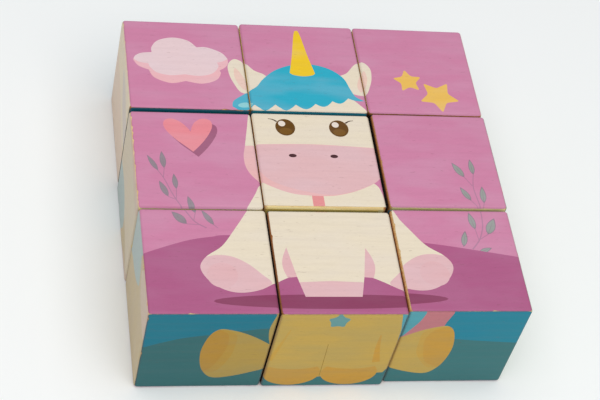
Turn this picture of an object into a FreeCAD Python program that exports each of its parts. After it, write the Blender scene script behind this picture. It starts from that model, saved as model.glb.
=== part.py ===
import FreeCAD, Part
import Sketcher
import os

# Nine loose wooden blocks, three by three, with a printed film on each of their six faces.
# Turned the same way, the nine blocks show one of six pictures.
#
# Millimetres. +Z is up and the table is at Z = 0. +X runs to the right along a row of the
# picture and +Y runs away from the player. The origin is under the middle of the whole set.

COLUMNS = {"left": -1, "centre": 0, "right": 1}
ROWS = {"front": -1, "middle": 0, "back": 1}

# The plain numbers that everything else is worked out from.
DIMENSIONS = {
    "block_edge": 40.0,        # over the films, the same in all three directions
    "edge_radius": 1.2,        # sanded round on every edge and corner
    "film_thickness": 0.1,
    "film_wrap": 0.6,          # how far a film reaches past the flat, over the rounded edge
    "pitch": 40.5,             # between the middles of neighbouring blocks, if evenly spaced
}

# How far each loose block lies from its even place, along X and along Y.
STRAY = {
    "back_left": (0.3, 0.05),
    "back_centre": (-0.05, 0.5),
    "back_right": (-0.45, 0.55),
    "middle_left": (0.0, -0.55),
    "middle_centre": (-0.35, 0.0),
    "middle_right": (0.0, 0.85),
    "front_left": (0.3, -0.4),
    "front_centre": (0.0, -0.55),
    "front_right": (-0.35, 0.55),
}

# The two faces of a block that share one node, and the axis that they look along.
FACE_PAIRS = {
    "top_and_bottom_prints": "z",
    "front_and_back_prints": "y",
    "left_and_right_prints": "x",
}

FILM_EDGE = "(Sizes.block_edge - 2 * Sizes.edge_radius + 2 * Sizes.film_wrap)"


def make_sheet(doc):
    """Spreadsheet of the driving dimensions, one aliased cell each."""
    sheet = doc.addObject("Spreadsheet::Sheet", "Sizes")
    cells = dict(DIMENSIONS)
    for block, (along_x, along_y) in STRAY.items():
        cells[block + "_stray_x"] = along_x
        cells[block + "_stray_y"] = along_y
    for row, (alias, value) in enumerate(cells.items(), start=1):
        sheet.set(f"A{row}", alias)
        sheet.set(f"B{row}", str(value))
        sheet.setAlias(f"B{row}", alias)
    doc.recompute()
    return sheet


def origin_plane(body, role):
    """One of a body's own origin planes."""
    return next(feature for feature in body.Origin.OriginFeatures if feature.Role == role)


def sketch_square(body, name, edge):
    """Square sketch centred on the body's XY plane; edge is the expression of its side."""
    sketch = body.newObject("Sketcher::SketchObject", name)
    sketch.AttachmentSupport = [(origin_plane(body, "XY_Plane"), "")]
    sketch.MapMode = "FlatFace"
    half = DIMENSIONS["block_edge"] / 2
    corners = [
        FreeCAD.Vector(-half, -half, 0),
        FreeCAD.Vector(half, -half, 0),
        FreeCAD.Vector(half, half, 0),
        FreeCAD.Vector(-half, half, 0),
    ]
    for start, end in zip(corners, corners[1:] + corners[:1]):
        sketch.addGeometry(Part.LineSegment(start, end))
    for line in range(4):
        sketch.addConstraint(Sketcher.Constraint("Coincident", line, 2, (line + 1) % 4, 1))
    for line in (0, 2):
        sketch.addConstraint(Sketcher.Constraint("Horizontal", line))
        sketch.addConstraint(Sketcher.Constraint("Vertical", line + 1))
    sketch.addConstraint(Sketcher.Constraint("Symmetric", 0, 1, 2, 1, -1, 1))
    for line, side in ((0, "Width"), (1, "Depth")):
        index = sketch.addConstraint(Sketcher.Constraint("Distance", line, 2 * half))
        sketch.renameConstraint(index, side)
        sketch.setExpression(f"Constraints.{side}", edge)
    return sketch


def rounded_cube(doc, name, edge, radius):
    """Cube with every edge rounded, standing on the XY plane; edge and radius are expressions."""
    body = doc.addObject("PartDesign::Body", name)
    sketch = sketch_square(body, name + "_outline", edge)
    pad = body.newObject("PartDesign::Pad", name + "_pad")
    pad.Profile = sketch
    pad.setExpression("Length", edge)
    doc.recompute()
    fillet = body.newObject("PartDesign::Fillet", name + "_rounding")
    fillet.Base = (pad, [])
    fillet.UseAllEdges = True
    fillet.setExpression("Radius", radius)
    doc.recompute()
    return body


def make_film_shell(doc):
    """Skin of film thickness around a block, from which every face's film is cut."""
    outside = rounded_cube(doc, "block_outside", "Sizes.block_edge", "Sizes.edge_radius")
    inside = make_core(doc, "block_inside")
    inside.setExpression("Placement.Base.z", "Sizes.film_thickness")
    shell = doc.addObject("Part::Cut", "film_shell")
    shell.Base = outside
    shell.Tool = inside
    return shell


def make_core(doc, name):
    """The bare wooden block: the block's outside less a film's thickness all round."""
    edge = "Sizes.block_edge - 2 * Sizes.film_thickness"
    return rounded_cube(doc, name, edge, "Sizes.edge_radius - Sizes.film_thickness")


def make_window(doc, axis):
    """Bar that passes through two opposite faces of a block and leaves its side edges bare."""
    window = doc.addObject("Part::Box", "window_" + axis)
    length = "2 * Sizes.block_edge"
    sides = {"x": "Length", "y": "Width", "z": "Height"}
    for direction, side in sides.items():
        window.setExpression(side, length if direction == axis else FILM_EDGE)
        start = f"-{length} / 2" if direction == axis else f"-{FILM_EDGE} / 2"
        lift = " + Sizes.block_edge / 2" if direction == "z" else ""
        window.setExpression(f"Placement.Base.{direction}", start + lift)
    return window


def place(obj, block, column, row, height=None):
    """Binds an object's Placement to its block's place in the set; height is an expression."""
    obj.setExpression("Placement.Base.x", f"{column} * Sizes.pitch + Sizes.{block}_stray_x")
    obj.setExpression("Placement.Base.y", f"{row} * Sizes.pitch + Sizes.{block}_stray_y")
    if height:
        obj.setExpression("Placement.Base.z", height)


def make_block(doc, block, column, row, shell, windows):
    """One block: its wooden core and its three pairs of printed films."""
    core = make_core(doc, block + "_block")
    place(core, block, column, row, "Sizes.film_thickness")
    pieces = [core]
    for pair, axis in FACE_PAIRS.items():
        films = doc.addObject("Part::Common", f"{block}_{pair}")
        films.Base = shell
        films.Tool = windows[axis]
        place(films, block, column, row)
        pieces.append(films)
    for piece in pieces:
        piece.Label = piece.Name
    return pieces


def check(doc, pieces):
    """Stops before anything is written if any object failed or any shape isn't sound."""
    for obj in doc.Objects:
        failed = [state for state in obj.State if state in ("Invalid", "Error")]
        if failed:
            raise RuntimeError(f"{obj.Label} is {failed}")
    for piece in pieces:
        if piece.Shape.isNull() or not piece.Shape.isValid():
            raise RuntimeError(f"{piece.Label} has no sound shape")
        solids = len(piece.Shape.Solids)
        expected = 2 if piece.Label.endswith("prints") else 1
        if solids != expected:
            raise RuntimeError(f"{piece.Label} has {solids} solids, not {expected}")


def main():
    doc = FreeCAD.newDocument("picture_blocks")
    make_sheet(doc)
    shell = make_film_shell(doc)
    windows = {axis: make_window(doc, axis) for axis in FACE_PAIRS.values()}
    pieces = []
    for row_name, row in ROWS.items():
        for column_name, column in COLUMNS.items():
            block = f"{row_name}_{column_name}"
            pieces += make_block(doc, block, column, row, shell, windows)
    doc.recompute()
    check(doc, pieces)
    os.makedirs("parts", exist_ok=True)
    for piece in pieces:
        piece.Shape.exportStep(f"parts/{piece.Label}.step")
        box = piece.Shape.BoundBox
        print(f"{piece.Label}: {piece.Shape.Volume:.2f} mm3, X {box.XMin:.2f} to {box.XMax:.2f}, "
              f"Y {box.YMin:.2f} to {box.YMax:.2f}, Z {box.ZMin:.2f} to {box.ZMax:.2f}")


main()
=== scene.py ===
"""Looks of a nine-block picture puzzle: loose wooden cubes with a printed film on each face.

The six pictures are drawn in millimetres on a square canvas three blocks wide, with the origin in
its middle, x to the picture's right and y up. Meshes are in metres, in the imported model's frame.
"""

import math
import random

import bpy
from mathutils import Matrix, Vector, noise
from mathutils.geometry import delaunay_2d_cdt


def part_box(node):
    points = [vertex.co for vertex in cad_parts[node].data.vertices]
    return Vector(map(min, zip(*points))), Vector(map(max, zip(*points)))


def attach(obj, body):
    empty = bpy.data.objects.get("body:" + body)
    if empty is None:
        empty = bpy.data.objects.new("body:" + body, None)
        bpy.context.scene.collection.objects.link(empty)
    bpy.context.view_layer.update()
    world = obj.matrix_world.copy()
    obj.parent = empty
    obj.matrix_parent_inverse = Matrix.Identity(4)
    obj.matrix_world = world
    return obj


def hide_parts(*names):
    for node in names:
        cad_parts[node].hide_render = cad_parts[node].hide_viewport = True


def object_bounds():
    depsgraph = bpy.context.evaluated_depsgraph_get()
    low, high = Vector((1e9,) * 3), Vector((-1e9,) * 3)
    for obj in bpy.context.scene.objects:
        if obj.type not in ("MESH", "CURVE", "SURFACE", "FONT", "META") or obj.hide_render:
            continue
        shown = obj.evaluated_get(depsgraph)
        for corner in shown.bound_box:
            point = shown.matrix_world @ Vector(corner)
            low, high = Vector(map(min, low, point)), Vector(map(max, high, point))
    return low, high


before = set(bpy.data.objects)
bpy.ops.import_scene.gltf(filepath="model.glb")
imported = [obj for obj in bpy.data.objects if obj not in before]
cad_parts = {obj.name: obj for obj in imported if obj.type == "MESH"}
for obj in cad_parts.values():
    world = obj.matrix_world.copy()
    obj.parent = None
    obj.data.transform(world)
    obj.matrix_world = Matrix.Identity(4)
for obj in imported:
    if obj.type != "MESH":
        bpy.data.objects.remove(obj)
CAD_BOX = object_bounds()

MM = 0.001
COLUMNS = {"left": -1, "centre": 0, "right": 1}
ROWS = {"front": -1, "middle": 0, "back": 1}

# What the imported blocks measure, in millimetres.
PRINT_LOW, PRINT_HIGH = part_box("middle_centre_top_and_bottom_prints")
BLOCK_EDGE = (PRINT_HIGH.z - PRINT_LOW.z) / MM
EDGE_RADIUS = 1.2
FILM_THICKNESS = 0.1
# How far films reach past the flat: usually, round the edge of a gap, further still, and down a gap.
FILM_REACH = 0.7 * EDGE_RADIUS
FAR_REACH = 0.86 * EDGE_RADIUS
DEEP_REACH = 0.95 * EDGE_RADIUS
SHORT_REACH = -1.5
HALF_FLAT = BLOCK_EDGE / 2 - EDGE_RADIUS
CANVAS_HALF = 1.5 * BLOCK_EDGE + 2

SIDES = ("right", "top", "left", "bottom")
# Films, by row, column and face, that end short or reach far round on some sides, in
# millimetres past the flat.
FILM_SIDES = {
    "back left left": {"right": 0.35},
    "back centre top": {"bottom": FAR_REACH},
    "back centre front": {"top": 0.6},
    "back right top": {"bottom": FAR_REACH},
    "back right front": {"top": 0.1, "left": -1.0},
    "middle left top": {"left": 0.72, "bottom": DEEP_REACH},
    "middle left left": {"right": FAR_REACH},
    "middle left front": {"top": -0.8, "left": 0.3},
    "middle centre top": {"right": DEEP_REACH, "top": FAR_REACH, "bottom": 0.45},
    "middle centre front": {"top": 0.2, "right": -1.5},
    "middle centre back": {"top": 0.6},
    "middle right top": {"left": 0.7, "bottom": FAR_REACH},
    "middle right left": {"top": -4, "right": -2},
    "middle right front": {"top": -0.9},
    "front left top": {"top": FAR_REACH},
    "front left back": {"top": 0.6, "right": 0.6},
    "front left left": {"left": FAR_REACH},
    "front centre top": {"left": 0.62, "right": DEEP_REACH},
    "front right top": {"left": 0.5},
}
# The share of places along a film's border where a chip is missing, and the sides that lost more.
FEW_CHIPS = 0.008
CHIPPED = {"middle left top": {"left": 0.2}, "back left top": {"left": 0.06}}
# How brown the bare wood is painted, as stain and painted shade along any edge, painted shade that
# deepens down the gaps between blocks, and in named places. 0 is pale and 1 is nearly black.
EDGE_STAIN_AND_SHADE = 0.3
GAP_SHADE = 0.5
STAINS_AND_GAP_SHADES = {
    "back left front": 1.0,
    "back left right": 0.05,
    "back centre left": 0.05,
    "back right left": 0.3,
    "back right front": 0.9,
    "middle left left": 0.0,
    "middle left front": 0.0,
    "middle left right": 0.55,
    "middle centre left": 0.55,
    "middle centre right": 1.2,
    "middle centre front": 0.0,
    "middle right left": 1.0,
    "middle right front": 0.05,
    "front centre left": 1.6,
    "front centre right": 0.2,
    "front right left": 0.85,
}
# Prints darkened with painted shade, where they get less light than the rest, and the share of their
# colour that is left.
FILM_SHADES = {
    "back left front": 0.4,
    "back centre front": 0.75,
    "front left front": 0.8,
    "middle left left": 0.84,
    "front left left": 0.84,
}

# Each face: the way it looks, and which way its picture's right and up point.
FACES = {
    "top": ((0, 0, 1), (1, 0, 0), (0, 1, 0)),
    "bottom": ((0, 0, -1), (1, 0, 0), (0, -1, 0)),
    "front": ((0, -1, 0), (1, 0, 0), (0, 0, 1)),
    "back": ((0, 1, 0), (-1, 0, 0), (0, 0, 1)),
    "left": ((-1, 0, 0), (0, -1, 0), (0, 0, 1)),
    "right": ((1, 0, 0), (0, 1, 0), (0, 0, 1)),
}
PRINT_PAIRS = {
    "top_and_bottom": ("top", "bottom", "pink_print"),
    "front_and_back": ("front", "back", "teal_print"),
    "left_and_right": ("left", "right", "cream_print"),
}

INKS = {
    "rose": "#C77FA1",
    "magenta": "#A85A83",
    "magenta_deep": "#873E5F",
    "heart": "#E18690",
    "heart_shade": "#9C5B79",
    "cloud": "#DFC6CA",
    "cloud_rim": "#E4B0B6",
    "cream": "#E0D4BF",
    "blush": "#D9B1B5",
    "blush_deep": "#D9ADB1",
    "blush_rim": "#E0AFAF",
    "ear_inside": "#E3C2B4",
    "hair": "#2BA6C0",
    "hair_light": "#82C7CE",
    "horn": "#E7C127",
    "eye": "#613E00",
    "eye_glow": "#724C00",
    "eye_light": "#E3D7CB",
    "lash": "#3E2412",
    "nostril": "#452428",
    "tag": "#DC8C8D",
    "gold": "#E3B75A",
    "leaf": "#8E948E",
    "leaf_dusk": "#8C8088",
    "leaf_green": "#6F9F72",
    "leaf_edge": "#8A7785",
    "stem": "#AC7794",
    "teal": "#27879E",
    "teal_ground": "#40797C",
    "tan": "#CAA957",
    "tan_line": "#A27C23",
    "tan_pad": "#CD9D43",
    "tan_pad_light": "#CDA44B",
    "dusty_pink": "#C77C83",
    "dusty_teal": "#6B9E9E",
    "dusty_blue": "#5AA5B2",
    "pale_cream": "#E5D5BA",
    "sand": "#D9C49C",
    "pale_blue": "#BDCCC8",
    "beige": "#E2CBB6",
    "lilac": "#CDBFCB",
    "lilac_faint": "#D6C9BE",
    "mint": "#A9C7A6",
    "white": "#F1EBE2",
    "coral": "#E2806F",
    "night": "#33718A",
    "moon": "#EAD9A0",
    "brown": "#9A6A45",
}


# -------- outlines, as lists of (x, y)

def smooth(points, first=0, last=None, steps=6):
    """A curve through the points, from one numbered point to another."""
    last = len(points) - 1 if last is None else last
    curve = []
    for i in range(first, last):
        before = points[max(i - 1, 0)]
        a = points[i]
        b = points[i + 1]
        after = points[min(i + 2, len(points) - 1)]
        for step in range(steps):
            t = step / steps
            curve.append(tuple(
                0.5 * (2 * a[k] + (b[k] - before[k]) * t
                       + (2 * before[k] - 5 * a[k] + 4 * b[k] - after[k]) * t ** 2
                       + (3 * a[k] - before[k] - 3 * b[k] + after[k]) * t ** 3)
                for k in (0, 1)))
    return curve + [points[last]]


def blob(points):
    """A closed curve through the points."""
    wrapped = [points[-1], *points, points[0], points[1]]
    return smooth(wrapped, 1, len(points) + 1)[:-1]


def outline(*runs):
    """One closed outline from runs of points that meet at corners."""
    joined = []
    for run in runs:
        joined += [p for p in run if not joined or math.dist(p, joined[-1]) > 0.01]
    if math.dist(joined[0], joined[-1]) < 0.01:
        joined.pop()
    return joined


def curves(*runs):
    """One closed outline of smooth runs, each of which sets out from the end of the one before."""
    starts = [[], *([run[-1]] for run in runs)]
    return outline(*(smooth(start + run) for start, run in zip(starts, runs)))


def mirrored(points, axis):
    """The points seen in a mirror on the line x = axis, in reverse order."""
    return [(2 * axis - x, y) for x, y in reversed(points)]


def both_sides(points, axis):
    """A closed outline whose left half is given from its top to its bottom."""
    return outline(points, mirrored(points, axis))


def ellipse(x, y, width, height, turn=0, steps=32):
    points = [(x + width / 2 * math.cos(2 * math.pi * i / steps),
               y + height / 2 * math.sin(2 * math.pi * i / steps)) for i in range(steps)]
    return turned(points, turn, (x, y))


def turned(points, angle, about):
    """The points turned anticlockwise by an angle in degrees."""
    c = math.cos(math.radians(angle))
    s = math.sin(math.radians(angle))
    return [(about[0] + (x - about[0]) * c - (y - about[1]) * s,
             about[1] + (x - about[0]) * s + (y - about[1]) * c) for x, y in points]


def rounded(corners, cut, steps=4):
    """A polygon whose corners are rounded off over a length of cut."""
    points = []
    for i, corner in enumerate(corners):
        ends = []
        for other in (corners[i - 1], corners[(i + 1) % len(corners)]):
            share = min(cut / math.dist(corner, other), 0.45)
            ends.append([corner[k] + (other[k] - corner[k]) * share for k in (0, 1)])
        for step in range(steps + 1):
            t = step / steps
            points.append(tuple((1 - t) ** 2 * ends[0][k] + 2 * t * (1 - t) * corner[k]
                                + t ** 2 * ends[1][k] for k in (0, 1)))
    return points


def box_outline(left, right, low, high, cut=0.0):
    corners = [(left, low), (right, low), (right, high), (left, high)]
    return rounded(corners, cut) if cut else corners


def star(x, y, radius, turn=0, waist=0.5, cut=0.9):
    """A five-pointed star with one point up, turned by an angle in degrees."""
    corners = []
    for i in range(10):
        reach = radius if i % 2 == 0 else radius * waist
        angle = math.radians(90 + turn + 36 * i)
        corners.append((x + reach * math.cos(angle), y + reach * math.sin(angle)))
    return rounded(corners, cut, 3)


def heart(x, y, size):
    steps = 40
    points = []
    for i in range(steps):
        t = 2 * math.pi * i / steps
        tall = 13 * math.cos(t) - 5 * math.cos(2 * t) - 2 * math.cos(3 * t) - math.cos(4 * t)
        points.append((x + size / 2 * math.sin(t) ** 3, y + size * (tall + 2.5) / 29))
    return points


def stroke(points, width, end_width=None):
    """A brush line along a smooth path, which may taper to another width."""
    end_width = width if end_width is None else end_width
    path = smooth(points, steps=4)
    sides = ([], [])
    for i, (x, y) in enumerate(path):
        before = path[max(i - 1, 0)]
        after = path[min(i + 1, len(path) - 1)]
        length = math.dist(before, after)
        half = (width + (end_width - width) * i / (len(path) - 1)) / 2
        across = ((before[1] - after[1]) / length * half, (after[0] - before[0]) / length * half)
        sides[0].append((x + across[0], y + across[1]))
        sides[1].append((x - across[0], y - across[1]))
    return sides[0] + sides[1][::-1]


def leaf_outline(base, tip, width):
    """A pointed leaf, widest a little below its middle."""
    length = math.dist(base, tip)
    along = ((tip[0] - base[0]) / length, (tip[1] - base[1]) / length)
    sides = ([], [])
    for i in range(9):
        t = i / 8
        half = width / 2 * math.sin(math.pi * t ** 0.85) ** 0.9 if 0 < t < 1 else 0
        middle = (base[0] + along[0] * length * t, base[1] + along[1] * length * t)
        sides[0].append((middle[0] - along[1] * half, middle[1] + along[0] * half))
        sides[1].append((middle[0] + along[1] * half, middle[1] - along[0] * half))
    return sides[0] + sides[1][-2:0:-1]


def scallops(cusps):
    """A run of arcs between cusps. Each cusp gives (x, y, how far the arc after it hangs down)."""
    steps = 6
    points = []
    for (ax, ay, hang), (bx, by, _) in zip(cusps, cusps[1:]):
        for step in range(steps):
            t = step / steps
            points.append((ax + (bx - ax) * t, ay + (by - ay) * t - hang * math.sin(math.pi * t)))
    return points + [cusps[-1][:2]]


# -------- motifs, as lists of (ink, outline)

def sheet(ink):
    return [(ink, box_outline(-CANVAS_HALF, CANVAS_HALF, -CANVAS_HALF, CANVAS_HALF))]


def ground(ink, ridge):
    """Everything below a ridge line that runs across the canvas."""
    return [(ink, outline(smooth(ridge), [(CANVAS_HALF, -CANVAS_HALF), (-CANVAS_HALF, -CANVAS_HALF)]))]


def cloud(x, y, size, ink="cloud", rim="cloud_rim"):
    """A cloud with a scalloped underside and a rim below it, size times 32 mm wide."""
    upper = curves([(-13.7, 0.8), (-12.9, 2.3), (-10.9, 3.5), (-7.4, 4.0)],
        [(-7.3, 6.4), (-4.9, 9.6), (0.2, 11.1), (5.2, 9.9), (8.0, 6.9)],
        [(11.0, 7.1), (14.3, 5.9), (16.7, 4.3), (18.1, 2.0)])
    under = curves([(18.1, 2.0), (16.4, 0.8), (14.3, 0.1)],
        [(14.6, -1.9), (12.2, -5.0), (7.8, -6.2), (3.0, -5.7)],
        [(-1.8, -6.3), (-6.1, -5.3), (-8.3, -3.0), (-8.9, -1.2)], [(-12.0, -0.6), (-13.7, 0.8)])
    rim_under = curves([(18.1, 2.0), (18.0, -0.1), (16.9, -2.0), (14.9, -3.4)],
        [(15.1, -5.1), (13.2, -8.0), (8.4, -9.7), (3.1, -8.7)],
        [(-2.0, -9.8), (-7.3, -7.5), (-8.9, -4.1)], [(-12.2, -2.4), (-13.8, 0.2)])
    return placed([(rim, outline(upper, rim_under)), (ink, outline(upper, under))], x, y, size)


def leaf(base, tip, width, ink):
    rib_end = (base[0] + (tip[0] - base[0]) * 0.7, base[1] + (tip[1] - base[1]) * 0.7)
    rim = 0.35
    length = math.dist(base, tip)
    inner_base = tuple(base[k] + (tip[k] - base[k]) * 1.2 * rim / length for k in (0, 1))
    inner_tip = tuple(tip[k] + (base[k] - tip[k]) * 1.8 * rim / length for k in (0, 1))
    return [("leaf_edge", leaf_outline(base, tip, width)),
            (ink, leaf_outline(inner_base, inner_tip, width - 1.3 * rim)),
            ("leaf_edge", stroke([base, rib_end], 0.22, 0.1))]


def sprig(stem, leaves, ink="leaf"):
    """A stem with leaves. Each leaf gives its join on the stem, its base, its tip and its width."""
    layers = [("stem", stroke(stem, 0.3, 0.45))]
    for join, base, tip, width in leaves:
        if join:
            layers += [("stem", stroke([base, join], 0.28))]
        layers += leaf(base, tip, width, ink)
    return layers


def shaded_heart(x, y, size):
    return [("heart_shade", heart(x + 1.4, y - 2.0, size)), ("heart", heart(x, y, size))]


def flower(x, y, size, petal):
    layers = []
    for i in range(5):
        angle = math.radians(90 + 72 * i)
        across = x + 0.55 * size * math.cos(angle)
        above = y + 0.55 * size * math.sin(angle)
        layers += [(petal, ellipse(across, above, 0.8 * size, 0.8 * size, steps=16))]
    return layers + [("gold", ellipse(x, y, 0.6 * size, 0.6 * size, steps=16))]


PONY_COAT = {"coat": "cream", "nose": "blush", "nose_rim": "blush_rim", "ear": "ear_inside",
    "hair": "hair", "hair_light": "hair_light", "horn": "horn"}


def placed(layers, x, y, size=1.0):
    """The layers scaled about the canvas's middle, then moved."""
    return [(ink, [(px * size + x, py * size + y) for px, py in points]) for ink, points in layers]


def pony_head(inks=PONY_COAT):
    """A simple pony's head with a horn, seen from the front, its nose about the canvas's middle."""
    axis = -1.6
    side = [(axis, 33), (-12, 31.5), (-18.3, 26), (-20.6, 20), (-22, 13), (-23.4, 5.8), (-24.3, 1),
        (-23.8, -4), (-21, -8.6), (-16, -12), (-9.5, -14.5), (axis, -15.2)]
    ear = blob([(-23.3, 43.1), (-25.5, 40.8), (-25.8, 37.4), (-24.7, 32.6), (-21.7, 27.6), (-15, 30),
        (-13.3, 35.2), (-17.2, 37.8), (-20.4, 41.7)])
    ear_inside = blob([(-23.4, 39), (-24, 35.5), (-22.9, 31.6), (-20.9, 29), (-20.1, 32), (-21.5, 36.2)])
    layers = [(inks["coat"], ear), (inks["coat"], mirrored(ear, -1.1))]
    layers += [(inks["ear"], ear_inside), (inks["ear"], mirrored(ear_inside, -1.1))]
    cheek = 20.2
    chin = smooth([(axis, -15.2), (4, -14.9), (11, -12.9), (17.4, -9.6), (cheek, -6.8)])
    layers += [(inks["coat"],
        outline(smooth(side), chin, smooth([(cheek, 20), (15.1, 26), (9, 31.5), (axis, 33)])))]
    muzzle = outline(smooth(side, 5), chin, smooth([(cheek, 5.4), (axis, 6.5), (-23.4, 5.8)]))
    layers += [(inks["nose_rim"], muzzle)]
    layers += [(inks["nose"], curves([(cheek, 5.2), (axis, 6.3), (-19.6, 5.9)],
        [(-20.6, 1), (-20.2, -4), (-17, -8.8), (-10.5, -12), (axis, -14.3), (4, -14.5), (11, -12.7),
        (17.4, -9.5), (cheek, -6.8)]))]
    for centre, outward in ((-9.2, -1), (8.9, 1)):
        layers += [("eye", ellipse(centre, 13.6, 6.6, 7.2))]
        layers += [("eye_glow", ellipse(centre, 12.0, 4.2, 2.8, steps=20))]
        layers += [("eye_light", ellipse(centre - 1.0, 15.2, 2.4, 2.4, steps=20))]
        layers += [("lash",
            stroke([(centre + 2.6 * outward, 16.0), (centre + 3.9 * outward, 16.9),
            (centre + 5.4 * outward, 17.2)], 0.6, 0.15))]
    for centre in (-8.2, 5.6):
        layers += [("nostril", ellipse(centre, 1.5, 2.6, 1.5, steps=20))]
    crown = [(-26, 21.6), (-25.3, 24.2), (-21.5, 27.2), (-17.2, 30.2), (-14.6, 33.7), (-10.3, 37.8),
        (-5, 40.4), (0, 41.3), (5, 41), (10, 38.9), (13.6, 35.2), (15.2, 30.3), (16.6, 27), (19.4, 25.2)]
    fringe = [(19.4, 25.2, 0.6), (13.8, 26.2, 1.7), (8.2, 24.7, 1.9), (2.2, 23.3, 2.2), (-4.6, 22.7, 2.3),
        (-11.6, 22.5, 2.2), (-18.6, 22.2, 1.9), (-26, 21.6, 0)]
    layers += [(inks["hair"], outline(smooth(crown), scallops(fringe)))]
    layers += [(inks["hair_light"], ellipse(-21.6, 22.4, 5, 2.2, 8, steps=20))]
    horn = curves([(-4.9, 37.1), (-3.2, 45), (-1.3, 55.3), (-0.3, 57.1), (0.8, 55.6), (2.4, 45),
        (3.9, 37.1)], [(2.6, 36.2), (-0.5, 35.7), (-3.6, 36.2), (-4.9, 37.1)])
    layers += [(inks["horn"], horn)]
    return layers


def sitting_body(coat="cream"):
    """A pony's chest, front legs and hooves, seen from the front, for the canvas's lower half."""
    axis = -2.8
    side = [(-14, -6), (-20, -10.2), (-22.4, -14.5), (-26.2, -21), (-31, -28.5), (-35.3, -34.6),
        (-40.6, -38.7), (-42.7, -42.8), (-40.5, -47.6), (-36, -51), (-31, -52.1), (-25, -51),
        (-19.5, -48), (-15.8, -46.2), (-13.4, -46)]
    body = both_sides(outline([(axis, -6)], smooth(side), [(-11.7, -53.4), (axis, -53.4)]), axis)
    hoof = outline(smooth(side, 6, 11),
        smooth([(-25, -51), (-21.2, -48.6), (-24, -45.2), (-28, -41.2), (-32.5, -38.6), (-37, -38),
        (-40.6, -38.7)]))
    sole = ellipse(-36.2, -45.6, 9.6, 9.4, 30)
    wedge = outline(smooth([(-15.4, -34.7), (-17.1, -39), (-17.4, -42.6), (-16.4, -46.3)]),
        [(-13.4, -46)])
    band = both_sides([(axis, -47.5), (-12.9, -48), (-11.7, -53.4), (axis, -53.4)], axis)
    shoulder = outline(smooth([(12, -7), (17.6, -10), (19.2, -13.4), (20.4, -18.6), (22.6, -24)]),
        [(10, -24)])
    layers = [(coat, body), (coat, shoulder)]
    for ink, shape in (("blush", hoof), ("blush_deep", sole), ("blush_deep", wedge)):
        layers += [(ink, shape), (ink, mirrored(shape, axis))]
    layers += [("blush", band)]
    return layers


# -------- the six pictures

def meadow_picture():
    """On the tops: a pony sitting on a magenta meadow under a pink sky."""
    layers = sheet("rose")
    layers += cloud(-43.6, 41.1, 1.0)
    wide_heart = curves([(-40.6, 11.3), (-41.9, 13.4), (-43.7, 15.4), (-46.1, 16.7), (-48.4, 16.3),
        (-49.3, 14.3), (-48.5, 11.6), (-45.6, 7.8), (-42.6, 4.9), (-40.5, 2.8)],
        [(-38, 5.6), (-35.3, 9.4), (-33.5, 13.2), (-33.5, 15.6), (-34.7, 16.8), (-36.8, 16.9),
        (-38.9, 15.4), (-40, 13.4), (-40.6, 11.3)])
    layers += placed([("heart_shade", wide_heart)], 1.5, -2.1) + [("heart", wide_heart)]
    layers += [("gold", star(36.1, 34.9, 5.4, 5)), ("gold", star(45.9, 28.3, 7.4, 182))]
    left_stem = [(-52.6, -5), (-51.2, -7.5), (-50.2, -10), (-48.8, -14), (-47.3, -17.5), (-45.4, -21),
        (-42.8, -25.2), (-39.4, -27.6)]
    left_leaves = [(None, (-52.4, -5.2), (-55.5, 1.1), 1.7),
        ((-50.9, -8), (-50.4, -4.2), (-50.8, 2.8), 2.0),
        ((-47.5, -17), (-47.2, -12.6), (-47.6, -6.4), 1.8),
        ((-47.4, -17), (-50, -15.7), (-52.4, -9.4), 2.0),
        ((-43.2, -25), (-42.4, -21.8), (-43.9, -15.4), 2.0),
        ((-41.5, -26.4), (-45.4, -26.1), (-49.8, -21.3), 2.7),
        ((-35.8, -27.6), (-37, -26.4), (-40.4, -20.6), 1.9)]
    layers += sprig(left_stem, left_leaves, "leaf_dusk")
    right_stem = [(50.9, -6), (50.2, -9), (49.8, -12), (50.2, -16), (50.6, -20.5), (50.2, -26), (49, -30),
        (47.4, -33), (44.9, -36)]
    right_leaves = [((49.6, -10.8), (47.6, -7.2), (44.3, -1), 2.4), (None, (50.9, -6), (50.8, 0.6), 2.0),
        ((50.1, -20), (48, -17), (45.2, -11.4), 2.1), ((51.6, -20), (52.2, -18), (52.8, -10.9), 2.2),
        ((47.7, -32.4), (47.3, -28), (46.3, -21.1), 2.3),
        ((47.9, -32.2), (51.2, -30), (54.6, -23.4), 3.1), (None, (42.1, -35), (43.8, -28.6), 2.1),
        (None, (46.8, -37.2), (51.4, -35.4), 1.8)]
    layers += sprig(right_stem, right_leaves)
    layers += ground("magenta", [(-62, -38.6), (-53, -35), (-45, -32.3), (-38, -31), (-32, -30.3),
        (0, -30), (30, -33.7), (45, -36.2), (62, -39.4)])
    layers += [("magenta_deep", ellipse(-3.3, -55.2, 73, 5.4))]
    layers += sitting_body()
    layers += [("tag", box_outline(-4.1, -0.3, -20.6, -14))]
    layers += pony_head()
    return layers


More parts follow.
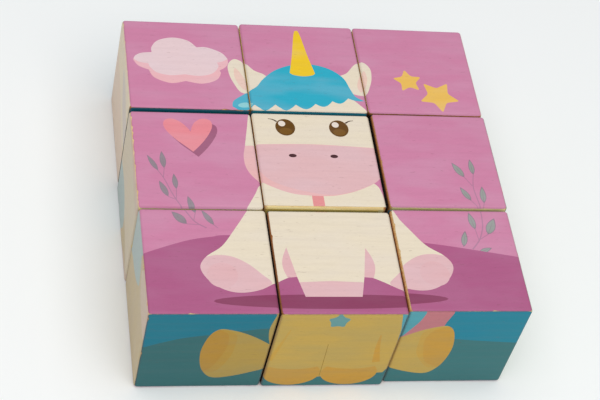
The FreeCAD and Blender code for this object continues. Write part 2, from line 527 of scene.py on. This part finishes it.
def golden_picture():
    """On the fronts: a golden pony with big round hooves on a teal ground."""
    golden = dict(PONY_COAT, coat="tan", nose="tan_pad_light", nose_rim="tan_pad", ear="tan_pad",
        hair="dusty_pink", hair_light="dusty_blue", horn="white")
    axis = -1.2
    layers = sheet("teal")
    layers += cloud(42, 45, 0.8, "dusty_blue", "night")
    layers += ground("teal_ground", [(-62, -38.6), (-50, -33.2), (-40, -30.8), (-30, -28.8), (-20, -27.4),
        (0, -29), (38, -35), (62, -37.4)])
    tail = smooth([(20.3, -34.2), (22.8, -29.1), (24.7, -24.9), (25.7, -20), (26.3, -14)])
    layers += [("dusty_blue", outline(tail, [(15, -12), (15, -30), (17, -35)]))]
    layers += [("dusty_pink",
        outline(tail, smooth([(36, -13), (34.7, -20), (33.4, -25), (32, -30), (26, -34), (21, -37)])))]
    left_side = smooth([(axis, -4), (-15, -8), (-19.6, -14), (-20.8, -20), (-22, -27), (-21.6, -32),
        (-20.4, -38), (-20.6, -46), (-20.2, -52)])
    right_side = smooth([(18.5, -52), (20.4, -46), (20.2, -38), (19.4, -33), (19.2, -28.5), (18.6, -25),
        (17.8, -20), (16.4, -14), (12, -8), (axis, -4)])
    layers += [("tan", outline(left_side, [(-11, -56), (axis, -54)], right_side))]
    side = [(-19, -37.5), (-24, -33.4), (-29, -30.2), (-34, -28.2), (-37.4, -28), (-40, -31.6),
        (-41.5, -39.6), (-40.6, -47.6), (-38.2, -52.6), (-35, -54.4), (-29, -53.2), (-23, -50.8),
        (-19, -49)]
    hoof = outline(smooth(side), [(-17, -43)])
    # The left hoof, and the one that is mirrored for the right, whose pad is wider.
    parts = []
    for wider in (0, 2.2):
        pad_edge = smooth([(-39.2, -51), (-36.6 + wider, -47.6), (-34.4 + wider, -41),
            (-33.6 + wider, -35), (-34.4 + 0.6 * wider, -30.4), (-37.4, -28)])
        pad = outline(smooth(side, 4, 8), pad_edge)
        band = outline(pad_edge,
            smooth([(-35, -28.4), (-31.6 + 0.7 * wider, -31), (-31.2 + 0.7 * wider, -36),
            (-32 + 0.7 * wider, -43), (-35.2, -50.4), (-39.2, -51)]))
        parts.append((("tan", hoof), ("tan_pad", pad), ("tan_pad_light", band)))
    layers += parts[0]
    layers += [(ink, mirrored(shape, -1.4)) for ink, shape in parts[1]]
    for middle in (-11.2, 7.4):
        layers += [("tan_pad", ellipse(middle, -52, 18.4, 13.6))]
        layers += [("tan", ellipse(middle, -45.4, 21, 8.8))]
    layers += [("tan_line", stroke([(-2.4, -36), (-2.2, -42), (-2, -49), (-1.9, -54)], 0.2))]
    for ink, width, path in (("tan_pad_light", 1.6, [(-15.6, -28), (-17.4, -36), (-19.4, -45)]),
            ("tan_pad", 2.6, [(13.4, -31), (13.8, -38), (15.0, -46)])):
        layers += [(ink, stroke(path, 0.4, width))]
    layers += [("dusty_teal", star(-1.4, -23.6, 3.9, 0, 0.62, 1.2))]
    layers += placed(pony_head(golden), 0, 0.8)
    return layers


def rainbow(x, y, radius, inks, width):
    layers = []
    for i, ink in enumerate(inks):
        size = 2 * (radius - i * width)
        layers += [(ink, ellipse(x, y, size, size, steps=64))]
    return layers


def rainbow_picture():
    """On the left faces: a rainbow over a sandy meadow, under a cream sky."""
    layers = sheet("pale_cream")
    layers += [("lilac_faint",
        blob([(-42, 55), (-34, 55), (-26, 51.5), (-17, 47.5), (-17, 38), (-26, 41.5), (-36, 47)]))]
    layers += [("beige",
        blob([(-64, 44), (-46, 45), (-30, 38), (-17, 34), (-17, 16), (-40, 18), (-64, 22)]))]
    layers += rainbow(28, -32, 44, ("dusty_pink", "gold", "mint", "pale_blue", "lilac",
        "pale_cream"), 5.0)
    layers += ground("sand", [(-62, -14), (-40, -8), (-22, -16), (20, -32), (62, -38)])
    layers += [("pale_blue",
        blob([(-64, -7), (-56, -3), (-47, -3), (-40, -7), (-38, -13), (-42, -20), (-40, -26), (-39, -32),
        (-46, -37), (-54, -38.5), (-64, -38)]))]
    layers += [("beige", curves([(-34, -18), (-38, -24), (-32, -31), (-20, -34), (-16, -40)],
        [(-10, -26), (-18, -16), (-34, -18)]))]
    layers += cloud(40, -24, 1.0, "white", "pale_blue")
    layers += cloud(4, 24, 0.7, "white", "lilac")
    layers += [("gold", ellipse(40, 44, 16, 16)), ("moon", ellipse(40, 44, 11, 11))]
    for x, y, size, ink in ((-4, -44, 6, "blush"), (24, -52, 5, "coral"), (46, -48, 6, "blush")):
        layers += [("mint", stroke([(x, y), (x + 0.5, y - 7)], 0.8))]
        layers += flower(x, y, size, ink)
    return layers


def orchard_picture():
    """On the right faces: a tree and a small pony on a mint meadow."""
    grey = dict(PONY_COAT, coat="white", hair="coral", hair_light="gold", horn="gold", nose="blush",
        nose_rim="blush_rim")
    layers = sheet("pale_cream")
    layers += cloud(-36, 44, 0.8, "white", "pale_blue")
    layers += ground("mint", [(-62, -20), (-30, -12), (10, -18), (62, -8)])
    layers += [("brown", outline(smooth([(34, -40), (38, -20), (36, 6)]),
        smooth([(44, 6), (43, -20), (48, -40)])))]
    for x, y, size in ((30, 14, 24), (50, 16, 24), (40, 30, 28), (38, 12, 22)):
        layers += [("leaf_green", ellipse(x, y, size, size))]
    for x, y in ((28, 18), (38, 34), (50, 20), (41, 14), (33, 27), (52, 31)):
        layers += [("coral", ellipse(x, y, 4.2, 4.2, steps=16))]
    layers += placed(sitting_body("white"), -16, -6, 0.85)
    layers += placed(pony_head(grey), -16, -1, 0.85)
    return layers


def night_picture():
    """On the back faces: a moon, stars and hills at night."""
    layers = sheet("night")
    layers += ground("teal", [(-62, -6), (-36, 8), (-8, -6), (24, 2), (62, -10)])
    layers += ground("teal_ground", [(-62, -34), (-30, -26), (10, -34), (62, -22)])
    layers += [("moon", ellipse(26, 30, 30, 30)), ("night", ellipse(33, 34, 27, 27))]
    for x, y, radius, turn in ((-42, 44, 6, 10), (-20, 30, 4, 0), (-4, 50, 5, 20), (48, 50, 4, 5),
            (-50, 20, 4, 30), (8, 14, 3.4, 12), (50, 8, 4.6, 40)):
        layers += [("gold", star(x, y, radius, turn))]
    layers += cloud(-24, 8, 0.9, "dusty_blue", "teal")
    for x, y, size in ((-40, -30, 1.0), (-14, -36, 0.8), (34, -28, 1.1)):
        layers += [("night",
            both_sides(smooth([(x, y + 26 * size), (x - 8 * size, y + 8 * size), (x - 10 * size, y),
            (x, y - 2 * size)]), x))]
        layers += [("brown", box_outline(x - 1.4, x + 1.4, y - 8 * size, y - 1, 0.6))]
    return layers


def balloon_picture():
    """On the bottoms: balloons and hearts in a pink sky."""
    layers = sheet("rose")
    layers += ground("magenta", [(-62, -44), (-20, -38), (24, -44), (62, -36)])
    layers += cloud(30, -16, 1.1)
    layers += cloud(-40, -24, 0.9)
    for x, y, size, ink in ((-30, 22, 1.0, "heart"), (4, 34, 1.1, "hair"), (34, 20, 0.9, "gold")):
        layers += [("leaf_edge",
            stroke([(x, y - 12 * size), (x + 2, y - 24 * size), (x - 2, y - 44 * size)], 0.5))]
        layers += [(ink,
            rounded([(x - 2, y - 15.4 * size), (x + 2, y - 15.4 * size), (x, y - 11 * size)], 0.8))]
        layers += [(ink, ellipse(x, y, 21 * size, 26 * size))]
        layers += [("eye_light", ellipse(x - 5 * size, y + 6 * size, 3 * size, 6 * size, 25))]
    for x, y, size in ((-48, 48, 9), (28, 50, 8), (52, -2, 8), (-12, -10, 9), (-2, -50, 8)):
        layers += shaded_heart(x, y, size)
    layers += [("gold", star(-50, 4, 5, 10)), ("gold", star(18, 8, 4, 20))]
    return layers


PICTURES = {
    "top": meadow_picture(),
    "bottom": balloon_picture(),
    "front": golden_picture(),
    "back": night_picture(),
    "left": rainbow_picture(),
    "right": orchard_picture(),
}


# -------- materials

def linear_colour(code):
    """A colour such as #CE87AB as linear red, green, blue and alpha."""
    channels = [int(code[i:i + 2], 16) / 255 for i in (1, 3, 5)]
    return tuple(c / 12.92 if c <= 0.04045 else ((c + 0.055) / 1.055) ** 2.4 for c in channels) + (1.0,)


class Shader:
    """A material's nodes, made one at a time; a value that is another node's socket is linked."""

    def __init__(self, name):
        self.material = bpy.data.materials.new(name)
        self.material.use_nodes = True
        self.tree = self.material.node_tree
        self.surface = self.tree.nodes["Principled BSDF"]

    def put(self, node, name, value):
        if isinstance(value, bpy.types.NodeSocket):
            self.tree.links.new(value, node.inputs[name])
        else:
            node.inputs[name].default_value = value

    def add(self, kind, inputs=None, **settings):
        node = self.tree.nodes.new("ShaderNode" + kind)
        for name, value in settings.items():
            setattr(node, name, value)
        for name, value in (inputs or {}).items():
            self.put(node, name, value)
        return node

    def attribute(self, name, output="Vector"):
        return self.add("Attribute", attribute_name=name).outputs[output]

    def noise(self, place, scale, detail=3.0, roughness=0.5, along=1.0):
        """Noise from 0 to 1, drawn out along x where along is less than 1."""
        if along != 1.0:
            place = self.add("Mapping", {"Vector": place, "Scale": (along, 1.0, 1.0)}).outputs["Vector"]
        settings = {"Vector": place, "Scale": scale, "Detail": detail, "Roughness": roughness}
        return self.add("TexNoise", settings).outputs["Fac"]

    def math(self, operation, a, b):
        return self.add("Math", {0: a, 1: b}, operation=operation).outputs[0]

    def plus(self, a, b):
        return self.math("ADD", a, b)

    def times(self, a, b):
        return self.math("MULTIPLY", a, b)

    def ramp(self, value, low, high, to_low=0.0, to_high=1.0):
        settings = {"Value": value, "From Min": low, "From Max": high, "To Min": to_low, "To Max": to_high}
        return self.add("MapRange", settings).outputs["Result"]

    def mix(self, factor, a, b):
        """The colour a, covered by the colour with the code b where the factor is 1."""
        node = self.add("Mix", {0: factor, 6: a, 7: linear_colour(b)}, data_type="RGBA")
        return node.outputs[2]

    def bump(self, height, strength, distance):
        node = self.add("Bump", {"Height": height, "Strength": strength, "Distance": distance})
        return node.outputs["Normal"]

    def finish(self, **values):
        for name, value in values.items():
            self.put(self.surface, name.replace("_", " "), value)
        return self.material


def wood_figure(shader):
    """Sockets of the wood's fibres, pores and growth rings, each from 0 to 1. Fibres run along x."""
    grain = shader.attribute("grain")
    fibres = shader.noise(grain, 1.3, 5.0, 0.65, along=0.1)
    fine = shader.noise(grain, 4.5, 3.0, 0.6, along=0.2)
    pores = shader.ramp(shader.noise(grain, 2.6, 2.0, along=0.16), 0.69, 0.75)
    rings = shader.add("TexWave", {"Vector": grain, "Scale": 0.11, "Distortion": 2.2, "Detail": 2.0,
                                   "Detail Scale": 0.25}, wave_type="RINGS", rings_direction="X")
    return fibres, fine, pores, rings.outputs["Fac"]


def bare_wood():
    """Pale sanded basswood, painted brown to nearly black where the blocks meet: painted shade down the
    gaps, and some stain.
    """
    shader = Shader("bare_wood")
    fibres, fine, pores, rings = wood_figure(shader)
    tone = shader.mix(shader.ramp(fibres, 0.3, 0.7), linear_colour("#DDC380"), "#ECDB9E")
    ringed = shader.mix(shader.ramp(rings, 0.55, 1.0, 0.0, 0.4), tone, "#C99B60")
    speckled = shader.mix(shader.times(pores, 0.5), ringed, "#8F6338")
    stain_and_shade = shader.plus(shader.attribute("stain_and_shade", "Fac"), shader.ramp(fine, 0.3, 0.7, -0.12, 0.12))
    # Painted shade: the wood turns brown, then nearly black, where the stain and shade value is high,
    # deepest down the gaps.
    warmed = shader.mix(shader.ramp(stain_and_shade, 0.05, 0.4), speckled, "#A8662F")
    stained_and_shaded = shader.mix(shader.ramp(stain_and_shade, 0.35, 0.85), warmed, "#1E100A")
    height = shader.math("SUBTRACT", shader.plus(fibres, shader.times(fine, 0.5)), pores)
    return shader.finish(Base_Color=stained_and_shaded, Roughness=shader.ramp(fine, 0.3, 0.7, 0.52, 0.72),
                         Normal=shader.bump(height, 0.5, 0.0001))


def printed_film(name, roughness, show_through, blotch, grime_and_shade_share, gloss):
    """Ink on a thin satin film, with the wood's figure showing through and a dark band at its border that
    is wear and painted shade on the rounded edge.
    """
    shader = Shader(name)
    fibres, fine, pores, rings = wood_figure(shader)
    place = shader.attribute("place")
    from_middle = shader.add("VectorMath", {0: place}, operation="ABSOLUTE").outputs[0]
    parts = shader.add("SeparateXYZ", {"Vector": from_middle})
    border = shader.math("MAXIMUM", parts.outputs["X"], parts.outputs["Y"])
    ragged = shader.noise(shader.attribute("grain"), 1.3, 4.0, 0.7)
    blotches = shader.noise(shader.attribute("grain"), 0.14, 2.0, along=0.35)
    ink = shader.attribute("ink", "Color")
    streaks = shader.plus(shader.times(fibres, 0.5), shader.times(fine, 0.5))
    brightness = shader.ramp(streaks, 0.3, 0.7, 1 - show_through, 1 + show_through)
    toned = shader.add("VectorMath", {0: ink, 1: brightness}, operation="MULTIPLY").outputs[0]
    lightness = shader.add("SeparateXYZ", {"Vector": ink}).outputs["Y"]
    cover = shader.math("MINIMUM", shader.times(lightness, 4.0), 1.0)
    patchy = shader.mix(shader.times(shader.ramp(blotches, 0.4, 0.65, 0.0, 0.1), cover), toned, blotch)
    ringed = shader.mix(shader.ramp(rings, 0.6, 1.0, 0.0, 0.03), patchy, "#8A6A78")
    near_border = shader.plus(border, shader.times(ragged, 0.4))
    # Painted shade and wear: the film darkens towards plum over its rounded border.
    grime_and_shade = shader.ramp(near_border, HALF_FLAT + 0.55, HALF_FLAT + 1.0)
    grimed_and_shaded = shader.mix(shader.times(grime_and_shade, grime_and_shade_share), ringed, "#5E4450")
    speckled = shader.mix(shader.times(pores, 0.3), grimed_and_shaded, "#6B4A40")
    height = shader.math("SUBTRACT", shader.plus(fibres, shader.times(fine, 0.6)), pores)
    streaky = shader.ramp(streaks, 0.3, 0.7, roughness - 0.06, roughness + 0.08)
    normal = shader.bump(height, 0.35, 0.00006)
    return shader.finish(Base_Color=speckled, Roughness=streaky, Normal=normal, Specular_IOR_Level=gloss)


def floor_material():
    shader = Shader("pale_floor")
    place = shader.add("TexCoord").outputs["Object"]
    cloudy = shader.noise(place, 3.0, 2.0)
    tone = shader.mix(cloudy, linear_colour("#EEF1F2"), "#F2F4F5")
    return shader.finish(Base_Color=tone, Roughness=0.85, Specular_IOR_Level=0.15,
                         Normal=shader.bump(shader.noise(place, 900.0), 0.05, 0.0002))


# -------- meshes

# What the materials read from the meshes: the kind of value, what carries it and its name there.
ATTRIBUTE_KINDS = {
    "grain": ("FLOAT_VECTOR", "POINT", "vector"),    # place in the plank, in millimetres
    "place": ("FLOAT_VECTOR", "POINT", "vector"),    # place on the face, in millimetres
    "stain_and_shade": ("FLOAT", "POINT", "value"),            # how brown the bare wood is: stain, and painted shade in the gaps
    "ink": ("FLOAT_COLOR", "FACE", "color"),         # the colour of the print
}


def block_middle(row, column):
    """The middle of a block, in millimetres."""
    low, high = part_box(f"{row}_{column}_block")
    return (low + high) / 2 / MM


def grain_of(row, column):
    """Where each block lay in the plank it was sawn from: a small turn and a place, in millimetres."""
    draw = random.Random(f"plank {row} {column}")
    turn = Matrix.Rotation(math.radians(draw.uniform(-2.5, 2.5)), 3, "Z")
    turn = Matrix.Rotation(math.radians(draw.uniform(-2.5, 2.5)), 3, "Y") @ turn
    place = Vector((draw.uniform(0, 400), draw.uniform(25, 60), draw.uniform(-50, 50)))
    return turn, place


def make_mesh(name, vertices, faces, attributes):
    """A mesh from points in millimetres, with the attributes that the materials read."""
    mesh = bpy.data.meshes.new(name)
    mesh.from_pydata([Vector(v) * MM for v in vertices], [], faces)
    for label, values in attributes.items():
        kind, domain, field = ATTRIBUTE_KINDS[label]
        numbers = values if field == "value" else [number for value in values for number in value]
        mesh.attributes.new(label, kind, domain).data.foreach_set(field, numbers)
    mesh.polygons.foreach_set("use_smooth", [True] * len(mesh.polygons))
    mesh.set_sharp_from_angle(angle=math.radians(50))
    mesh.update()
    piece = bpy.data.objects.new(name, mesh)
    bpy.context.scene.collection.objects.link(piece)
    return piece


def ragged_border(draw, sides, chipped):
    """The film's cut edge on a face, as (u, v) points: nearly straight, with nicks and small chips.

    sides gives how far the film reaches past the flat on its right, top, left and bottom, and
    chipped the share of places on those sides where a chip is missing.
    """
    step = 0.8
    quiet_corner = 1.5
    reach = [HALF_FLAT + side for side in sides]
    points = []
    for side in range(4):
        start = -reach[(side + 3) % 4]
        end = reach[(side + 1) % 4]
        count = round((end - start) / step)
        chip = 0.0
        for i in range(count):
            along = start + (end - start) * (i + 0.5) / count
            corner = min(along - start, end - along)
            chip = draw.uniform(0.1, 0.4) if draw.random() < chipped[side] else chip * 0.45
            nick = abs(draw.gauss(0, 0.02)) + (chip if corner > quiet_corner else 0.0)
            points.append(turned([(reach[side] - nick, along)], 90 * side, (0, 0))[0])
    return [rounded_in(point, sides) for point in points]


def rounded_in(point, sides):
    """A border point near a face's corner, pulled in so that the film's corner is round."""
    over = [max(abs(c) - HALF_FLAT, 0.0) for c in point]
    limits = [sides[0] if point[0] > 0 else sides[2], sides[1] if point[1] > 0 else sides[3]]
    if min(over) == 0.0 or min(limits) <= 0.0:
        return point
    share = min(1.0, 1 / math.hypot(over[0] / limits[0], over[1] / limits[1]))
    return tuple(math.copysign(HALF_FLAT + o * share, c) for c, o in zip(point, over))


def guide_lines():
    """Lines along each side that give the film enough points to follow the block's rounded edges."""
    end = BLOCK_EDGE / 2
    lines = []
    for share in (0.0, 0.3, 0.55, 0.8):
        for place in (HALF_FLAT + FILM_REACH * share, -HALF_FLAT - FILM_REACH * share):
            lines += [[(place, -end), (place, end)], [(-end, place), (end, place)]]
    return lines


def turns_left(shape):
    """True for an outline that runs anticlockwise."""
    return sum(ax * by - bx * ay for (ax, ay), (bx, by) in zip(shape, shape[1:] + shape[:1])) > 0


def print_triangles(layers, shift, border):
    """The picture cut up for one face: its points, its triangles and each triangle's ink."""
    points = []
    edges = []
    faces = []
    inks = []
    reach = BLOCK_EDGE / 2 + 0.5

    def add_points(shape):
        first = len(points)
        points.extend(Vector(p) for p in shape)
        numbers = list(range(first, len(points)))
        return numbers if turns_left(shape) else numbers[::-1]

    faces.append(add_points(border))
    inks.append(None)
    for ink, shape in layers:
        local = [(x - shift[0], y - shift[1]) for x, y in shape]
        if any(min(places) > reach or max(places) < -reach for places in zip(*local)):
            continue
        faces.append(add_points(local))
        inks.append(ink)
    for start, end in guide_lines():
        edges.append((len(points), len(points) + 1))
        points.extend([Vector(start), Vector(end)])
    made = delaunay_2d_cdt(points, edges, faces, 0, 1e-4, True)
    triangles = []
    triangle_inks = []
    for corners, sources in zip(made[2], made[5]):
        if 0 in sources and len(sources) > 1:
            triangles.append(corners)
            triangle_inks.append(inks[max(sources)])
    return made[0], triangles, triangle_inks


def on_block(u, v, radius, right, up, normal):
    """Where a point of a face's flat print lies on the rounded block, at a radius about its edges."""
    flat_u = max(-HALF_FLAT, min(HALF_FLAT, u))
    flat_v = max(-HALF_FLAT, min(HALF_FLAT, v))
    over_u = (u - flat_u) / EDGE_RADIUS
    over_v = (v - flat_v) / EDGE_RADIUS
    height = math.sqrt(1 - over_u ** 2 - over_v ** 2)
    return (right * (flat_u + over_u * radius) + up * (flat_v + over_v * radius)
            + normal * (HALF_FLAT + height * radius))


def add_film(vertices, faces, attributes, face, row, column, middle):
    """Adds one closed film to the growing lists of points, faces and attributes."""
    normal, right, up = (Vector(v) for v in FACES[face])
    draw = random.Random(f"film {row} {column} {face}")
    chips = CHIPPED.get(f"{row} {column} {face}", {})
    chipped = [chips.get(side, FEW_CHIPS) for side in SIDES]
    border = ragged_border(draw, film_sides(face, row, column), chipped)
    shift = (COLUMNS[column] * BLOCK_EDGE, ROWS[row] * BLOCK_EDGE)
    points, triangles, inks = print_triangles(PICTURES[face], shift, border)
    used = sorted({i for t in triangles for i in t})
    turn, place = grain_of(row, column)
    first = len(vertices)
    for radius in (EDGE_RADIUS, EDGE_RADIUS - FILM_THICKNESS):
        for i in used:
            u, v = points[i]
            offset = on_block(u, v, radius, right, up, normal)
            vertices.append(middle + offset)
            attributes["grain"].append(turn @ offset + place)
            attributes["place"].append((u, v, 0))
    number = {old: first + new for new, old in enumerate(used)}
    # Painted shade: the print's colours are darkened on faces that get less light.
    tone = FILM_SHADES.get(f"{row} {column} {face}", 1.0)
    colours = [tuple(c * tone for c in linear_colour(INKS[ink])[:3]) + (1.0,) for ink in inks]
    for corners, colour in film_faces([[number[i] for i in t] for t in triangles], colours, len(used)):
        faces.append(corners)
        attributes["ink"].append(colour)


def film_faces(triangles, colours, count):
    """A film's outer faces, inner ones (on points numbered count higher) and thin wall, with colours."""
    faces = []
    border = {}
    for triangle, colour in zip(triangles, colours):
        faces.append((triangle, colour))
        faces.append(([count + i for i in reversed(triangle)], colour))
        for a, b in zip(triangle, triangle[1:] + triangle[:1]):
            if border.pop((b, a), None) is None:
                border[(a, b)] = colour
    return faces + [([b, a, count + a, count + b], colour) for (a, b), colour in border.items()]


def meets_neighbour(face, column):
    """True for a left or right face that stands against the next block."""
    return face in ("left", "right") and -1 <= COLUMNS[column] + FACES[face][0][0] <= 1


def film_sides(face, row, column):
    """How far a film reaches past the flat on its right, top, left and bottom."""
    sides = dict.fromkeys(SIDES, FILM_REACH)
    if meets_neighbour(face, column):
        sides["top"] = SHORT_REACH
        sides["right" if face == "left" else "left"] = SHORT_REACH
    for side in ("left", "right"):
        if face in ("top", "front") and meets_neighbour(side, column):
            sides[side] = FAR_REACH
    sides.update(FILM_SIDES.get(f"{row} {column} {face}", {}))
    return list(sides.values())


def make_films(row, column, pair, material):
    """The two films of one pair of opposite faces, as one piece."""
    middle = block_middle(row, column)
    vertices = []
    faces = []
    attributes = {"grain": [], "place": [], "ink": []}
    first_face, second_face, slot = PRINT_PAIRS[pair]
    for face in (first_face, second_face):
        add_film(vertices, faces, attributes, face, row, column, middle)
    piece = make_mesh(f"{row}_{column}_{pair}_films", vertices, faces, attributes)
    piece.data.materials.append(material)
    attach(piece, f"{row}_{column}")
    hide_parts(f"{row}_{column}_{pair}_prints")


def core_stops():
    """Places of the wood's grid lines along an edge: close together where it is rounded."""
    half = BLOCK_EDGE / 2 - FILM_THICKNESS
    radius = EDGE_RADIUS - FILM_THICKNESS
    flat = half - radius
    outer = [flat - 2, flat - 0.8, flat - 0.3]
    outer += [flat + radius * math.tan(math.radians(a)) for a in (0, 9, 18, 27, 36, 45)]
    inner = [flat * i / 6 for i in range(-5, 6)]
    return [-s for s in reversed(outer)] + inner + outer


def stain_and_shade_at(point, row, column):
    """How brown the wood is painted at a point of a block: stain, and painted shade that grows with the
    depth into a gap.
    """
    stain_and_shade_at_rim = 0.15
    fading_depth = 2.4
    half = BLOCK_EDGE / 2
    below_top = half - point.z
    stain_and_shade = None
    for face, on_face, depth in (("left", point.x < -HALF_FLAT, min(below_top, half + point.y)),
                                 ("right", point.x > HALF_FLAT, min(below_top, half + point.y)),
                                 ("front", point.y < -HALF_FLAT, below_top)):
        # Painted shade grows with the depth below the top, so the gaps darken downwards.
        usual = GAP_SHADE if meets_neighbour(face, column) else EDGE_STAIN_AND_SHADE
        strength = STAINS_AND_GAP_SHADES.get(f"{row} {column} {face}", usual)
        if on_face:
            stain_and_shade = max(stain_and_shade or 0.0, strength * min(1.0, stain_and_shade_at_rim + depth / fading_depth))
    return EDGE_STAIN_AND_SHADE if stain_and_shade is None else stain_and_shade


def rounded_point(corner, shift):
    """A point of the plain cube brought on to the rounded one, with the small dents of its edges.

    shift is where the block takes its dents from, so that no two blocks are alike.
    """
    radius = EDGE_RADIUS - FILM_THICKNESS
    inside = Vector([max(-HALF_FLAT, min(HALF_FLAT, c)) for c in corner])
    away = (corner - inside).normalized()
    on_edge = 1 - max(abs(c) for c in away)
    hollow = max(0.0, noise.noise(corner * 0.35 + shift))
    knock = abs(noise.noise(corner * 1.7 + shift))
    dent = 0.35 * hollow + 0.12 * knock
    return inside + away * (radius - dent * on_edge)


def make_core(row, column, material):
    """The wooden cube under the films."""
    middle = block_middle(row, column)
    turn, place = grain_of(row, column)
    stops = core_stops()
    half = stops[-1]
    vertices = []
    numbers = {}
    faces = []
    for normal, right, up in ([Vector(v) for v in axes] for axes in FACES.values()):
        grid = []
        for v in stops:
            line = []
            for u in stops:
                corner = normal * half + right * u + up * v
                key = tuple(round(c, 4) for c in corner)
                if key not in numbers:
                    numbers[key] = len(vertices)
                    vertices.append(rounded_point(corner, place))
                line.append(numbers[key])
            grid.append(line)
        for low, high in zip(grid, grid[1:]):
            for i in range(len(stops) - 1):
                faces.append([low[i], low[i + 1], high[i + 1], high[i]])
    attributes = {"grain": [turn @ v + place for v in vertices],
                  "stain_and_shade": [stain_and_shade_at(v, row, column) for v in vertices]}
    piece = make_mesh(f"{row}_{column}_wood", [middle + v for v in vertices], faces, attributes)
    piece.data.materials.append(material)
    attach(piece, f"{row}_{column}")
    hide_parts(f"{row}_{column}_block")


# -------- stage, light and camera

def make_floor():
    mesh = bpy.data.meshes.new("floor")
    half = 3.0
    corners = [(-half, -half, 0), (half, -half, 0), (half, half, 0), (-half, half, 0)]
    mesh.from_pydata(corners, [], [(0, 1, 2, 3)])
    floor = bpy.data.objects.new("floor", mesh)
    floor.location.z = CAD_BOX[0].z
    bpy.context.scene.collection.objects.link(floor)
    mesh.materials.append(floor_material())


def make_lights():
    world = bpy.data.worlds.new("studio")
    world.use_nodes = True
    background = world.node_tree.nodes["Background"]
    background.inputs["Color"].default_value = (0.965, 0.985, 1.0, 1.0)
    background.inputs["Strength"].default_value = 0.43
    bpy.context.scene.world = world
    light = bpy.data.lights.new("window", "AREA")
    light.shape = "RECTANGLE"
    light.size = 1.2
    light.size_y = 1.2
    light.energy = 9.8
    light.color = (1.0, 0.985, 0.96)
    lamp = bpy.data.objects.new("window", light)
    lamp.location = (-0.02, -0.27, 0.98)
    lamp.rotation_euler = (Vector((0, 0, 0.02)) - lamp.location).to_track_quat("-Z", "Y").to_euler()
    bpy.context.scene.collection.objects.link(lamp)


def make_camera():
    """A long lens looking down on the blocks, turned a little about its own axis."""
    azimuth = math.radians(19.84)
    elevation = math.radians(49.36)
    roll = math.radians(16.15)
    place = Vector((-0.12387, -0.33649, 0.43580))
    forward = Vector((math.sin(azimuth) * math.cos(elevation), math.cos(azimuth) * math.cos(elevation),
                      -math.sin(elevation)))
    level = forward.cross(Vector((0, 0, 1))).normalized()
    above = level.cross(forward)
    right = level * math.cos(roll) + above * math.sin(roll)
    up = above * math.cos(roll) - level * math.sin(roll)
    data = bpy.data.cameras.new("camera")
    data.sensor_width = 36.0
    data.lens = 98.9
    camera = bpy.data.objects.new("camera", data)
    axes = Matrix((right, up, -forward)).transposed()
    camera.matrix_world = Matrix.Translation(place) @ axes.to_4x4()
    bpy.context.scene.collection.objects.link(camera)
    bpy.context.scene.camera = camera


def main():
    bpy.context.scene.view_settings.view_transform = "Standard"
    wood = bare_wood()
    films = {
        "top_and_bottom": printed_film("pink_film", roughness=0.44, show_through=0.05,
                                       blotch="#CFCBDA", grime_and_shade_share=0.08, gloss=0.18),
        "front_and_back": printed_film("teal_film", roughness=0.40, show_through=0.06,
                                       blotch="#4F8A8A", grime_and_shade_share=0.4, gloss=0.07),
        "left_and_right": printed_film("cream_film", roughness=0.46, show_through=0.06,
                                       blotch="#CBBFC6", grime_and_shade_share=0.08, gloss=0.12),
    }
    for row in ROWS:
        for column in COLUMNS:
            make_core(row, column, wood)
            for pair, material in films.items():
                make_films(row, column, pair, material)
    make_floor()
    make_lights()
    make_camera()


main()
